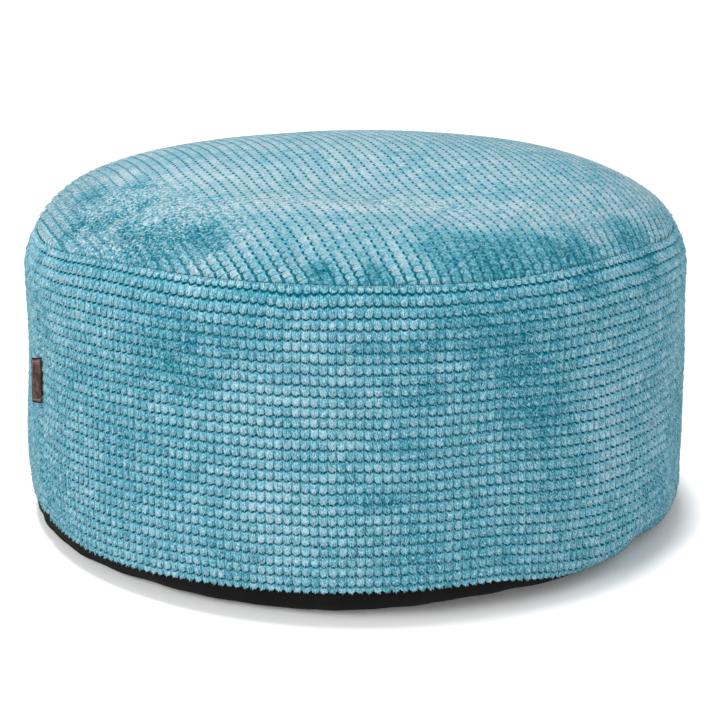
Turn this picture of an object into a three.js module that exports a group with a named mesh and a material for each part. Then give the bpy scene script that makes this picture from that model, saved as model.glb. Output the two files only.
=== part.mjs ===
import * as THREE from "three";

// A round filled pouf ottoman with a ribbed plush cover. Millimetres and degrees, +Z up, front towards -Y.
// The origin is the middle of its floor contact. Angles run anticlockwise from +X, so the front is 270.
// The cover is cut as a round top panel, a side band and a round base panel. Each panel is one filled
// solid with the filling that lies behind it, and the three stand on each other, PIECE_GAP apart.

// Driving dimensions
const WAIST_RADIUS = 341.5;
const BELLY = { swell: 6.5, height: 72, spread: 75 };
const SHOULDER = { from: 260, drawIn: 15.5, rise: 45 };
const HEEL_HEIGHT = 27;
const HEEL_RADIUS = 346.2;
const APEX_HEIGHT = 380;
// The seams cut the cloth through a rib, so the band shows ribs from one place to another
const SIDE_RIBS = { from: 0.32, to: 28.57, lastCrest: 28.3 };
const TOP_RIBS = 65;
const RIB_DEPTH = 3;
const TOP_RIB_TURN = 20;
const SEAM_TUCK = 3;
const BASE_INSET = 3.5;
const PIECE_GAP = 0.3;
const BASE_CENTRE_HEIGHT = 25;
const TOP_CENTRE_HEIGHT = 305;

// The filling's slow swells round the side band: size, swells in a turn, start and lean over LEAN_HEIGHT
const LEAN_HEIGHT = 353;
const SIDE_WAVES = [
  { size: 1.3, swells: 3, start: 0.7, lean: 2 },
  { size: 0.8, swells: 7, start: -1.1, lean: 4 },
];

// Vertical closing seam of the side band, where the label is sewn in
const CLOSING_SEAM = { angle: 206.5, depth: 5, halfWidth: 5 };
const LABEL = { thickness: 1.8, low: 145, high: 191, width: 17, droop: 4 };

// Fineness of the grids, and how near the seam the top's ribs and hollows fade, as a share of the radius
const BAND_COLUMNS = 81;
const BASE_RINGS = 4;
const TOP_CHORD_STEPS = 20;
const LABEL_STEPS = 14;
const READING = { spread: 8, steps: 9 };
const RIB_FADE = 0.08;
const HOLLOW_FADE = 0.09;

// Height of the seam between base panel and side band: it is tucked under at the right front.
const BASE_SEAM = [
  { angle: 0, value: 17 },
  { angle: 25, value: 23 },
  { angle: 100, value: 25 },
  { angle: 185, value: 27 },
  { angle: 205, value: 27 },
  { angle: 216, value: 24 },
  { angle: 225, value: 22 },
  { angle: 244, value: 28 },
  { angle: 277, value: 31 },
  { angle: 291, value: 31 },
  { angle: 299, value: 26 },
  { angle: 306, value: 11 },
  { angle: 315, value: 8 },
  { angle: 342, value: 9 },
];

// Height of the seam between side band and top panel
const TOP_SEAM = [
  { angle: 10, value: 302 },
  { angle: 90, value: 305 },
  { angle: 170, value: 303 },
  { angle: 209, value: 300 },
  { angle: 225, value: 308 },
  { angle: 250, value: 307 },
  { angle: 292, value: 304 },
  { angle: 320, value: 308 },
  { angle: 345, value: 300 },
];

// Radius at which the base leaves the floor
const FLOOR_EDGE = [
  { angle: 30, value: 322 },
  { angle: 150, value: 322 },
  { angle: 185, value: 343 },
  { angle: 192, value: 345 },
  { angle: 198, value: 341 },
  { angle: 205, value: 339 },
  { angle: 214, value: 338 },
  { angle: 236, value: 322 },
  { angle: 262, value: 326 },
  { angle: 279, value: 320 },
  { angle: 287, value: 307 },
  { angle: 294, value: 306 },
  { angle: 308, value: 322 },
  { angle: 317, value: 321 },
  { angle: 322, value: 311 },
  { angle: 328, value: 311 },
  { angle: 334, value: 322 },
  { angle: 341, value: 330 },
  { angle: 351, value: 334 },
];

// How full the top's rim is: the power of its dome, low where the rim is plump and high where it is flat
const FULLNESS = [
  { angle: 10, value: 0.53 },
  { angle: 32, value: 0.48 },
  { angle: 60, value: 0.62 },
  { angle: 90, value: 0.74 },
  { angle: 120, value: 0.74 },
  { angle: 150, value: 0.54 },
  { angle: 165, value: 0.48 },
  { angle: 180, value: 0.53 },
  { angle: 205, value: 0.54 },
  { angle: 240, value: 0.66 },
  { angle: 300, value: 0.66 },
  { angle: 345, value: 0.54 },
];

// The wide hollow at the front, where the top is sat in
const SAT_IN = { x: 30, y: -132, halfX: 170, halfY: 85, depth: 16 };

// Soft hollows in the top, at an angle and a radius, with their half sizes along and across that radius
const TOP_HOLLOWS = [
  { angle: 262, radius: 296, along: 16, across: 14, depth: 4 },
  { angle: 275, radius: 300, along: 14, across: 12, depth: 4 },
  { angle: 319, radius: 296, along: 20, across: 22, depth: 3 },
  { angle: 210, radius: 306, along: 9, across: 14, depth: 5 },
  { angle: 219, radius: 272, along: 20, across: 9, depth: 5 },
  { angle: 226, radius: 293, along: 12, across: 20, depth: 4 },
  { angle: 242, radius: 278, along: 16, across: 10, depth: 4 },
  { angle: 301, radius: 299, along: 12, across: 16, depth: 3 },
  { angle: 310, radius: 302, along: 12, across: 16, depth: 4 },
  { angle: 293, radius: 217, along: 30, across: 60, depth: 4 },
];

// Soft hollows in the side band, at an angle and a height, with their half sizes. A depth below zero is
// a swell.
const SIDE_HOLLOWS = [
  { angle: 262, height: 292, wide: 22, tall: 20, depth: 3 },
  { angle: 277, height: 290, wide: 20, tall: 18, depth: 3 },
  { angle: 330, height: 285, wide: 30, tall: 24, depth: 3 },
  { angle: 232, height: 96, wide: 60, tall: 40, depth: 2 },
  { angle: 310, height: 60, wide: 50, tall: 26, depth: 3 },
  { angle: 326, height: 12, wide: 26, tall: 20, depth: 7 },
  { angle: 192, height: 80, wide: 60, tall: 100, depth: -2.6 },
  { angle: 348, height: 170, wide: 60, tall: 50, depth: -3 },
  { angle: 350, height: 28, wide: 50, tall: 18, depth: -2.5 },
];

const radians = THREE.MathUtils.degToRad;
const bell = (x) => Math.exp(-x * x);

// The shorter way round between two angles
function turnBetween(a, b) {
  return ((((a - b) % 360) + 540) % 360) - 180;
}

// The straight-line reading of a table round the whole turn
function straightReading(table, angle) {
  const turn = ((angle % 360) + 360) % 360;
  const next = table.find((row) => row.angle > turn) ?? table[0];
  const last = [...table].reverse().find((row) => row.angle <= turn) ?? table[table.length - 1];
  const span = (next.angle - last.angle + 360) % 360;
  const share = ((turn - last.angle + 360) % 360) / span;
  return last.value + (next.value - last.value) * share;
}

// The table's reading softened over a few degrees, so that no corner shows
function reading(table, angle) {
  let sum = 0;
  for (let i = 0; i < READING.steps; i++) {
    const offset = READING.spread * ((2 * i) / (READING.steps - 1) - 1);
    sum += straightReading(table, angle + offset);
  }
  return sum / READING.steps;
}

// Slow unevenness of the filling behind the band
function sideWaves(angle, height) {
  let sum = 0;
  for (const w of SIDE_WAVES) {
    sum += w.size * Math.sin(w.swells * radians(angle) + w.start + (w.lean * height) / LEAN_HEIGHT);
  }
  return sum;
}

// Outer radius of the pouf at an angle and a height between floor and top seam
function sideRadius(angle, height) {
  const belly = BELLY.swell * bell((height - BELLY.height) / BELLY.spread);
  const rise = Math.max(0, height - SHOULDER.from) / SHOULDER.rise;
  const under = Math.max(0, 1 - height / HEEL_HEIGHT);
  const heel = (HEEL_RADIUS - reading(FLOOR_EDGE, angle)) * under ** 2;
  let hollow = 0;
  for (const h of SIDE_HOLLOWS) {
    const aside = radians(turnBetween(angle, h.angle)) * WAIST_RADIUS;
    hollow += h.depth * bell(aside / h.wide) * bell((height - h.height) / h.tall);
  }
  const steady = WAIST_RADIUS + belly - SHOULDER.drawIn * rise ** 2 - heel;
  return steady - hollow + sideWaves(angle, height) * (1 - under);
}

// Radius of the ring where the top panel meets the side band
function topSeamRadius(angle) {
  return sideRadius(angle, reading(TOP_SEAM, angle)) - SEAM_TUCK;
}

// Height of the top at an angle and a radius: a dome from the seam up to the apex, less the hollows
function topHeight(angle, radius) {
  const seamHeight = reading(TOP_SEAM, angle);
  const [x, y] = polar(angle, radius, 0);
  let hollow = SAT_IN.depth * bell((x - SAT_IN.x) / SAT_IN.halfX) * bell((y - SAT_IN.y) / SAT_IN.halfY);
  for (const h of TOP_HOLLOWS) {
    const aside = radians(turnBetween(angle, h.angle)) * radius;
    hollow += h.depth * bell((radius - h.radius) / h.along) * bell(aside / h.across);
  }
  const out = Math.min(1, (radius / topSeamRadius(angle)) ** 2);
  const dome = (APEX_HEIGHT - seamHeight) * (1 - out) ** reading(FULLNESS, angle);
  return seamHeight + dome - hollow * Math.min(1, (1 - out) / HOLLOW_FADE);
}

// A mesh from points and triangles, with its faces pointing out
function meshOf(name, points, triangles, material) {
  const geometry = new THREE.BufferGeometry();
  geometry.setAttribute("position", new THREE.Float32BufferAttribute(points.flat(), 3));
  geometry.setIndex(triangles.flat());
  geometry.computeVertexNormals();
  const mesh = new THREE.Mesh(geometry, material);
  mesh.name = name;
  return mesh;
}

// A closed drum: rings of equal count from the bottom up, capped by a fan below and a fan above
function drumOf(name, rings, lowCentre, highCentre, material) {
  const count = rings[0].length;
  const points = rings.flat();
  const triangles = [];
  for (let j = 0; j < rings.length - 1; j++) {
    for (let i = 0; i < count; i++) {
      const a = j * count + i;
      const b = j * count + ((i + 1) % count);
      triangles.push([a, b, b + count], [a, b + count, a + count]);
    }
  }
  const low = points.push(lowCentre) - 1;
  const high = points.push(highCentre) - 1;
  const last = (rings.length - 1) * count;
  for (let i = 0; i < count; i++) {
    const next = (i + 1) % count;
    triangles.push([low, next, i], [high, last + i, last + next]);
  }
  return meshOf(name, points, triangles, material);
}

function polar(angle, radius, height) {
  const t = radians(angle);
  return [radius * Math.cos(t), radius * Math.sin(t), height];
}

// Angles of the band's columns: even steps round the turn, and three close ones at the closing seam
function columnAngles() {
  const half = (CLOSING_SEAM.halfWidth / WAIST_RADIUS) * (180 / Math.PI);
  const start = CLOSING_SEAM.angle + half;
  const angles = [CLOSING_SEAM.angle];
  for (let i = 0; i <= BAND_COLUMNS; i++) {
    angles.push(start + ((360 - 2 * half) * i) / BAND_COLUMNS);
  }
  return angles;
}

const plush = new THREE.MeshStandardMaterial({ color: 0x68a1b1, roughness: 0.95, metalness: 0 });
const topPlush = new THREE.MeshStandardMaterial({ color: 0x84b5c3, roughness: 0.95, metalness: 0 });
const baseCloth = new THREE.MeshStandardMaterial({ color: 0x201f1e, roughness: 0.85, metalness: 0 });
const labelHide = new THREE.MeshStandardMaterial({ color: 0x5b4c47, roughness: 0.6, metalness: 0 });

// Side band: one long strip round the filling, its ribs level, closed by the vertical seam at the label
function sideBand() {
  const angles = columnAngles();
  const ribs = [SIDE_RIBS.from];
  for (let rib = 0.5; rib < SIDE_RIBS.lastCrest; rib += 0.5) {
    ribs.push(rib);
  }
  ribs.push(SIDE_RIBS.lastCrest, SIDE_RIBS.to);
  const rings = [];
  for (const rib of ribs) {
    const onEdge = rib === SIDE_RIBS.from || rib === SIDE_RIBS.to;
    const onValley = Number.isInteger(rib);
    const share = (rib - SIDE_RIBS.from) / (SIDE_RIBS.to - SIDE_RIBS.from);
    rings.push(
      angles.map((angle) => {
        const low = reading(BASE_SEAM, angle);
        const high = reading(TOP_SEAM, angle);
        const height = low + (high - low) * share;
        const inSeam = angle === CLOSING_SEAM.angle && !onEdge;
        const valley = onEdge ? SEAM_TUCK : onValley ? RIB_DEPTH : 0;
        const inset = inSeam ? CLOSING_SEAM.depth : valley;
        return polar(angle, sideRadius(angle, height) - inset, height);
      }),
    );
  }
  const low = [0, 0, BASE_CENTRE_HEIGHT];
  const high = [0, 0, TOP_CENTRE_HEIGHT];
  return drumOf("side_band", rings, low, high, plush);
}

// Base panel: a round of plain cloth, flat on the floor and drawn up to the seam under the plush
function basePanel() {
  const angles = columnAngles();
  const rings = [];
  for (let j = 0; j <= BASE_RINGS; j++) {
    const share = j / BASE_RINGS;
    rings.push(
      angles.map((angle) => {
        const height = (reading(BASE_SEAM, angle) - PIECE_GAP) * share;
        const inset = share === 1 ? SEAM_TUCK : BASE_INSET * share;
        return polar(angle, sideRadius(angle, height) - inset, height);
      }),
    );
  }
  const high = [0, 0, BASE_CENTRE_HEIGHT - PIECE_GAP];
  return drumOf("base_panel", rings, [0, 0, 0], high, baseCloth);
}

// Top panel: a round of plush whose straight ribs cross it at an angle and end at the seam.
// It is a grid of chords, one along each rib's crest and one along each valley between two ribs.
function topPanel() {
  const lines = 2 * TOP_RIBS;
  const points = [];
  const chords = [];
  for (let k = 0; k <= lines; k++) {
    const across = (2 * k) / lines - 1;
    const halfChord = Math.sqrt(Math.max(0, 1 - across * across));
    const isPoint = k === 0 || k === lines;
    const chord = [];
    for (let m = 0; m <= (isPoint ? 0 : TOP_CHORD_STEPS); m++) {
      const along = isPoint ? 0 : -halfChord * Math.cos((Math.PI * m) / TOP_CHORD_STEPS);
      const angle = Math.atan2(along, across) * (180 / Math.PI) + TOP_RIB_TURN;
      const share = isPoint ? 1 : Math.min(1, Math.hypot(across, along));
      const onEdge = isPoint || m === 0 || m === TOP_CHORD_STEPS;
      const radius = (onEdge ? 1 : share) * topSeamRadius(angle);
      const valley = k % 2 === 0 && !onEdge ? RIB_DEPTH * Math.min(1, (1 - share) / RIB_FADE) : 0;
      const height = onEdge ? reading(TOP_SEAM, angle) + PIECE_GAP : topHeight(angle, radius) - valley;
      chord.push(points.push(polar(angle, radius, height)) - 1);
    }
    chords.push(chord);
  }
  const triangles = [];
  for (let k = 0; k < lines; k++) {
    const a = chords[k];
    const b = chords[k + 1];
    for (let m = 0; m < TOP_CHORD_STEPS; m++) {
      const [a0, a1] = [a[m] ?? a[0], a[m + 1] ?? a[0]];
      const [b0, b1] = [b[m] ?? b[0], b[m + 1] ?? b[0]];
      if (b0 !== b1) triangles.push([a0, b0, b1]);
      if (a0 !== a1) triangles.push([a0, b1, a1]);
    }
  }
  const near = chords.map((chord) => chord[0]);
  const far = chords.slice(1, -1).map((chord) => chord[chord.length - 1]);
  const edge = [...near, ...far.reverse()];
  const centre = points.push([0, 0, TOP_CENTRE_HEIGHT + PIECE_GAP]) - 1;
  edge.forEach((point, i) => triangles.push([centre, edge[(i + 1) % edge.length], point]));
  return meshOf("top_panel", points, triangles, topPlush);
}

// Label: a folded tab, sewn into the closing seam by its raw ends. It lies back along the band, and its
// free edge droops a little.
function label() {
  const path = [
    { back: 0, out: -3.4 },
    { back: 0.2, out: -0.7 },
    { back: 1.8, out: 1.5 },
    { back: 6, out: 2.3 },
    { back: 13, out: 3 },
    { back: LABEL.width, out: 3.7 },
  ];
  const line = new THREE.CatmullRomCurve3(path.map((p) => new THREE.Vector3(p.back, p.out, 0)));
  const half = LABEL.thickness / 2;
  const upper = [];
  const lower = [];
  for (let i = 0; i <= LABEL_STEPS; i++) {
    const at = line.getPointAt(i / LABEL_STEPS);
    const dir = line.getTangentAt(i / LABEL_STEPS);
    upper.push(new THREE.Vector2(at.x - dir.y * half, at.y + dir.x * half));
    lower.push(new THREE.Vector2(at.x + dir.y * half, at.y - dir.x * half));
  }
  const end = line.getPointAt(1);
  const way = line.getTangentAt(1);
  const nose = [60, 30, 0, -30, -60].map((turn) => {
    const t = radians(turn);
    const ahead = Math.cos(t) * half;
    const side = Math.sin(t) * half;
    return new THREE.Vector2(end.x + way.x * ahead - way.y * side, end.y + way.y * ahead + way.x * side);
  });
  const section = new THREE.Shape([...upper, ...nose, ...lower.reverse()]);
  const geometry = new THREE.ExtrudeGeometry(section, {
    depth: LABEL.high - LABEL.low,
    bevelEnabled: false,
  });
  const place = geometry.attributes.position;
  for (let i = 0; i < place.count; i++) {
    place.setZ(i, place.getZ(i) - (LABEL.droop * place.getX(i)) / LABEL.width);
  }
  const mesh = new THREE.Mesh(geometry, labelHide);
  mesh.name = "label";
  return mesh;
}

const pouf = new THREE.Group();
pouf.add(sideBand(), basePanel(), topPanel());

const labelPlace = new THREE.Group();
const lowRadius = sideRadius(CLOSING_SEAM.angle, LABEL.low);
const highRadius = sideRadius(CLOSING_SEAM.angle, LABEL.high);
const tab = label();
tab.rotation.x = Math.atan((lowRadius - highRadius) / (LABEL.high - LABEL.low));
labelPlace.position.set(...polar(CLOSING_SEAM.angle, lowRadius, LABEL.low));
labelPlace.rotation.z = radians(CLOSING_SEAM.angle - 90);
labelPlace.add(tab);
pouf.add(labelPlace);

export default pouf;
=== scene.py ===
import bpy
import numpy as np
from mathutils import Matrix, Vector


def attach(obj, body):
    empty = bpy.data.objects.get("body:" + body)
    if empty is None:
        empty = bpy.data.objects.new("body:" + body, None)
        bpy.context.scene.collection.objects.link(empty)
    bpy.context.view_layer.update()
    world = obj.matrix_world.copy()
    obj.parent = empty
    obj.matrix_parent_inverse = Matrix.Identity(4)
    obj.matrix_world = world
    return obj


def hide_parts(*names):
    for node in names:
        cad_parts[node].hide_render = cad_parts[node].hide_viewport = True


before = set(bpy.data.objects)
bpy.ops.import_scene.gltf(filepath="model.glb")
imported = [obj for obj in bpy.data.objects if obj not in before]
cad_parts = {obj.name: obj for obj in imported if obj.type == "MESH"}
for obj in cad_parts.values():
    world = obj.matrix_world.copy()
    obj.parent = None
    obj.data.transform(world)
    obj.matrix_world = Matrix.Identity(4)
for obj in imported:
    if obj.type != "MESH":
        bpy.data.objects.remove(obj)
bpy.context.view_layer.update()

# Side band: one long strip of ribbed plush round the filling, its ribs level, its ends sewn together in
# an upright seam at the left. Thick tufts stand side by side in rows, and the rounded lower edge of each
# row hangs over the row below. Sizes are millimetres and degrees, and new_piece turns them to metres.

WAIST_RADIUS = 341.5
BELLY_SWELL = 6.5
BELLY_HEIGHT = 72
BELLY_SPREAD = 75
SHOULDER_HEIGHT = 260
SHOULDER_DRAW_IN = 15.5
SHOULDER_RISE = 45
HEEL_HEIGHT = 27
HEEL_RADIUS = 346.2
LEAN_HEIGHT = 353
SEAM_TUCK = 3
PIECE_GAP = 0.3
BASE_CENTRE_HEIGHT = 25
TOP_CENTRE_HEIGHT = 305
CLOSING_SEAM_ANGLE = 206.5
CLOSING_SEAM_DEPTH = 3.5
CLOSING_SEAM_HALF_WIDTH = 4


def rows(columns, *values):
    """A short table: a row for each tuple, with each of its values under its column's name."""
    return [dict(zip(columns.split(), row)) for row in values]


# The filling's slow waves round the turn. Start, and lean over LEAN_HEIGHT, are in radians.
SIDE_WAVES = rows(
    "size swells start lean",
    (1.3, 3, 0.7, 2),
    (0.8, 7, -1.1, 4),
)
# Heights of the two seams and the radius at which the base leaves the floor, round the turn
BASE_SEAM = {
    "angle": (0, 25, 100, 185, 205, 216, 225, 244, 277, 291, 299, 306, 315, 342),
    "height": (17, 23, 25, 27, 27, 24, 22, 28, 31, 31, 26, 11, 8, 9),
}
TOP_SEAM = {
    "angle": (10, 90, 170, 209, 225, 250, 292, 320, 345),
    "height": (302, 305, 303, 300, 308, 307, 304, 308, 300),
}
FLOOR_EDGE = {
    "angle": (30, 150, 185, 192, 198, 205, 214, 236, 262, 279, 287, 294, 308, 317, 322, 328, 334, 341, 351),
    "radius": (322, 322, 343, 345, 341, 339, 338, 322, 326, 320, 307, 306, 322, 321, 311, 311, 322, 330, 334),
}
# Soft hollows in the side, at an angle and a height. A depth below zero is a swell.
SIDE_HOLLOWS = rows(
    "angle height half_width half_height depth",
    (262, 292, 22, 20, 3),
    (277, 290, 20, 18, 3),
    (330, 285, 30, 24, 3),
    (232, 96, 60, 40, 2),
    (310, 60, 50, 26, 3),
    (326, 12, 26, 20, 7),
    (192, 80, 60, 100, -2.6),
    (348, 170, 60, 50, -3),
    (350, 28, 50, 18, -2.5),
)
# Where the rows are drawn down, by the seam above them or towards the floor
ROW_PULLS = rows(
    "angle height half_width half_height drop",
    (261, 297, 24, 18, 3.6),
    (277, 299, 16, 12, 1.6),
    (318, 14, 50, 26, 2.5),
)

BAND_STITCHES = 271
# The seams cut the cloth through a rib: the band shows its ribs from LOW_CUT up to HIGH_CUT
LOW_CUT = 0.32
HIGH_CUT = 28.57
CUT_SLACK = 0.01
COLUMNS_PER_STITCH = 3
TUFT_DEPTH = 3.4
TUFT_ROUGHNESS = 0.5
ROUGH_SIZE = 4.5
TUFT_TIP = 0.42
PILE_ROOM = 0.5
SCALLOP = 0.095
SEAM_ROW_HEIGHT = 0.5
HEM_SCALLOP = 0.15
STITCH_DIP = 0.45
ROW_WANDER = 0.9
STITCH_WANDER = 0.16
# Height of a tuft over its own width, from the valley below it up to the next valley
ROW_PLACES = (0.0, 0.10, 0.40, 0.80)
ROW_HEIGHTS = (0.0, 0.90, 1.0, 0.76)


def bell(x):
    """One at zero, falling to nothing on both sides: e to the minus x squared."""
    return np.exp(-x * x)


def turn_between(a, b):
    """The shorter way round from angle b to angle a, from -180 to 180."""
    return (a - b + 540) % 360 - 180


READING_SPREAD = 8
READING_STEPS = 9


def read_round(table, column, angle):
    """The table's straight-line reading round the turn, averaged over READING_SPREAD to each side."""
    readings = [
        np.interp((angle + offset) % 360, table["angle"], table[column], period=360)
        for offset in np.linspace(-READING_SPREAD, READING_SPREAD, READING_STEPS)
    ]
    return sum(readings) / READING_STEPS


LATTICE = 32
LATTICE_SHIFT = 500


def soft_noise(points, size, seed):
    """Smooth noise from -1 to 1: random numbers on a cubic lattice of that size, blended between corners."""
    lattice = np.random.default_rng(seed).uniform(-1, 1, (LATTICE, LATTICE, LATTICE))
    place = points / size + LATTICE_SHIFT
    corner = np.floor(place).astype(int)
    share = place - corner
    share = share * share * (3 - 2 * share)
    total = 0
    for dx in (0, 1):
        for dy in (0, 1):
            for dz in (0, 1):
                weight = np.abs(1 - dx - share[..., 0]) * np.abs(1 - dy - share[..., 1])
                weight = weight * np.abs(1 - dz - share[..., 2])
                at = (corner + (dx, dy, dz)) % LATTICE
                total = total + weight * lattice[at[..., 0], at[..., 1], at[..., 2]]
    return total


def soft_vectors(points, size, seeds):
    """A smooth random vector at each point: noise of that size for each of three seeds."""
    return np.stack([soft_noise(points, size, seed) for seed in seeds], axis=-1)


def polar(angle, radius, height):
    """Points at those angles, radii and heights: x is r cos a, y is r sin a."""
    t = np.radians(angle)
    return np.stack(np.broadcast_arrays(radius * np.cos(t), radius * np.sin(t), height), axis=-1)


def side_radius(angle, height):
    """Radius of the filled side: the waist, plus a low belly, less the shoulder's draw-in, the heel and the
    hollows, plus the slow waves round the turn."""
    belly = BELLY_SWELL * bell((height - BELLY_HEIGHT) / BELLY_SPREAD)
    rise = np.clip(height - SHOULDER_HEIGHT, 0, None) / SHOULDER_RISE
    under = np.clip(1 - height / HEEL_HEIGHT, 0, None)
    heel = (HEEL_RADIUS - read_round(FLOOR_EDGE, "radius", angle)) * under**2
    hollow = 0
    for h in SIDE_HOLLOWS:
        aside = np.radians(turn_between(angle, h["angle"])) * WAIST_RADIUS / h["half_width"]
        hollow = hollow + h["depth"] * bell(aside) * bell((height - h["height"]) / h["half_height"])
    t = np.radians(angle)
    waves = 0
    for w in SIDE_WAVES:
        waves = waves + w["size"] * np.sin(w["swells"] * t + w["start"] + w["lean"] * height / LEAN_HEIGHT)
    return WAIST_RADIUS + belly - SHOULDER_DRAW_IN * rise**2 - heel - hollow + waves * (1 - under)


def tuft_height(along, across):
    """Height of a tuft, 0 to 1: across follows ROW_HEIGHTS, and the height dips where two tufts meet."""
    places = ROW_PLACES + (1.0,)
    heights = ROW_HEIGHTS + (0.0,)
    meeting = np.abs(2 * (along % 1) - 1) ** 3
    height = np.interp(across % 1, places, heights) * (1 - STITCH_DIP * meeting)
    at_seam = (across < LOW_CUT + CUT_SLACK) | (across > HIGH_CUT - CUT_SLACK)
    return np.where(at_seam, SEAM_ROW_HEIGHT, height)


def round_edge(along):
    """The rounded edge of the tufts, low under the middle of each and high between two of them: twice the
    1.5th power of the way out from the middle, less 0.9."""
    return 2 * np.abs(2 * (along % 1) - 1) ** 1.5 - 0.9


def scallop(along, line):
    """How far a valley line strays from straight, in ribs. It follows the rounded edge of the tufts. The
    lowest row is a little more scalloped, and the top seam's line is straight."""
    amount = np.where(line < 0.5, HEM_SCALLOP, np.where(line > HIGH_CUT, 0, SCALLOP))
    return amount * round_edge(along)


def band_place(along, rib):
    """Angle and height of a place on the band: along counts stitches from the closing seam, rib counts ribs
    up from the base seam. The valley lines are scalloped, wander a little and are drawn down in places."""
    line = np.floor(rib)
    across = rib - line
    strayed = rib + (1 - across) * scallop(along, line) + across * scallop(along, line + 1)
    start = CLOSING_SEAM_ANGLE + 360 * along / BAND_STITCHES
    low = read_round(BASE_SEAM, "height", start)
    high = read_round(TOP_SEAM, "height", start)
    height = low + (high - low) * (strayed - LOW_CUT) / (HIGH_CUT - LOW_CUT)
    inner = np.clip(np.minimum(rib - LOW_CUT, HIGH_CUT - rib), 0, 1)
    rough = polar(start, WAIST_RADIUS, height)
    height = height + ROW_WANDER * inner * soft_noise(rough, 26, 3)
    for p in ROW_PULLS:
        aside = np.radians(turn_between(start, p["angle"])) * WAIST_RADIUS / p["half_width"]
        height = height - inner * p["drop"] * bell(aside) * bell((height - p["height"]) / p["half_height"])
    angle = start + STITCH_WANDER * soft_noise(rough, 34, 4)
    return angle, height


def band_point(along, rib, lift):
    """The band's surface at a place, raised by lift over the bottom of its valleys."""
    angle, height = band_place(along, rib)
    aside = np.radians(turn_between(angle, CLOSING_SEAM_ANGLE)) * WAIST_RADIUS
    seam = CLOSING_SEAM_DEPTH * bell(aside / CLOSING_SEAM_HALF_WIDTH)
    radius = side_radius(angle, height) - PILE_ROOM - TUFT_DEPTH + lift - seam
    return polar(angle, radius, height)


def new_piece(name, points, triangles, material, uv=None, marks=None):
    """A mesh object from points in millimetres and triangles, with a UV pair for each corner and named
    values for each point."""
    mesh = bpy.data.meshes.new(name)
    mesh.vertices.add(len(points))
    mesh.vertices.foreach_set("co", (points * 0.001).astype(np.float32).ravel())
    mesh.loops.add(triangles.size)
    mesh.loops.foreach_set("vertex_index", triangles.astype(np.int32).ravel())
    mesh.polygons.add(len(triangles))
    mesh.polygons.foreach_set("loop_start", np.arange(0, triangles.size, 3, dtype=np.int32))
    mesh.polygons.foreach_set("use_smooth", np.full(len(triangles), True))
    if uv is not None:
        layer = mesh.uv_layers.new(name="cloth")
        layer.data.foreach_set("uv", uv.astype(np.float32).ravel())
    for mark, values in (marks or {}).items():
        layer = mesh.attributes.new(mark, "FLOAT", "POINT")
        layer.data.foreach_set("value", values.astype(np.float32).ravel())
    mesh.update(calc_edges=True)
    mesh.validate()
    mesh.materials.append(material)
    piece = bpy.data.objects.new(name, mesh)
    bpy.context.scene.collection.objects.link(piece)
    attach(piece, "root")
    return piece


def ring_triangles(rings, count):
    """Two triangles for each cell between rings of equal count, and the same with each ring left open at
    its start, as a UV map needs."""
    row, column = np.meshgrid(np.arange(rings - 1), np.arange(count), indexing="ij")
    unrolled = []
    joined = []
    for corners in (((0, 0), (0, 1), (1, 1)), ((0, 0), (1, 1), (1, 0))):
        unrolled.append(np.stack([(row + up) * (count + 1) + column + on for up, on in corners], axis=-1))
        joined.append(np.stack([(row + up) * count + (column + on) % count for up, on in corners], axis=-1))
    return (np.concatenate(part).reshape(-1, 3) for part in (joined, unrolled))


def fan(ring, centre, upward):
    """Triangles from a ring of points to one centre point."""
    after = np.roll(ring, -1)
    middle = np.full_like(ring, centre)
    return np.stack([middle, ring, after] if upward else [middle, after, ring], axis=-1)


def closed_rings(rings, count):
    """The triangles of a stack of rings, closed at its foot and its head by a fan to a centre point. The two
    centre points come after the rings. Also the corners of the rings' cells for a UV map."""
    joined, unrolled = ring_triangles(rings, count)
    low = fan(np.arange(count), rings * count, upward=False)
    high = fan((rings - 1) * count + np.arange(count), rings * count + 1, upward=True)
    return np.concatenate([joined, low, high]), unrolled


# Patches of the side stroked dark, below zero, or light, at an angle and a height
BRUSHED_SIDE = rows(
    "angle height half_width half_height amount",
    (240, 268, 44, 26, -0.5),
    (243, 220, 34, 24, -0.5),
    (252, 262, 30, 20, -0.4),
    (276, 252, 46, 10, -0.7),
    (280, 212, 30, 16, -0.5),
    (288, 275, 42, 34, -0.5),
    (296, 250, 40, 44, -0.5),
    (297, 200, 34, 36, -0.4),
    (310, 292, 30, 14, -0.8),
    (327, 284, 20, 22, -0.8),
    (302, 190, 36, 50, -0.3),
    (277, 164, 26, 12, -0.6),
    (274, 116, 30, 12, -0.8),
    (293, 60, 26, 18, -0.3),
    (257, 193, 62, 38, 0.4),
    (258, 110, 70, 40, 0.3),
    (313, 170, 46, 90, 0.3),
    (215, 235, 40, 50, 0.2),
    (231, 140, 40, 34, -0.2),
)
RAGGED_REACH = 9
RAGGED_SIZE = 17
WIDE_PLAY_SIZE = 60
FINE_PLAY_SIZE = 21


def ragged_points(points):
    """The points strayed by a few millimetres, so that a patch laid by them has a ragged edge."""
    return points + RAGGED_REACH * soft_vectors(points, RAGGED_SIZE, seeds=(5, 6, 7))


def slow_play(points, wide, fine):
    """A slow random play between dark and light: noise of two sizes, by those two amounts."""
    return wide * soft_noise(points, WIDE_PLAY_SIZE, 8) + fine * soft_noise(points, FINE_PLAY_SIZE, 9)


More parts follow.
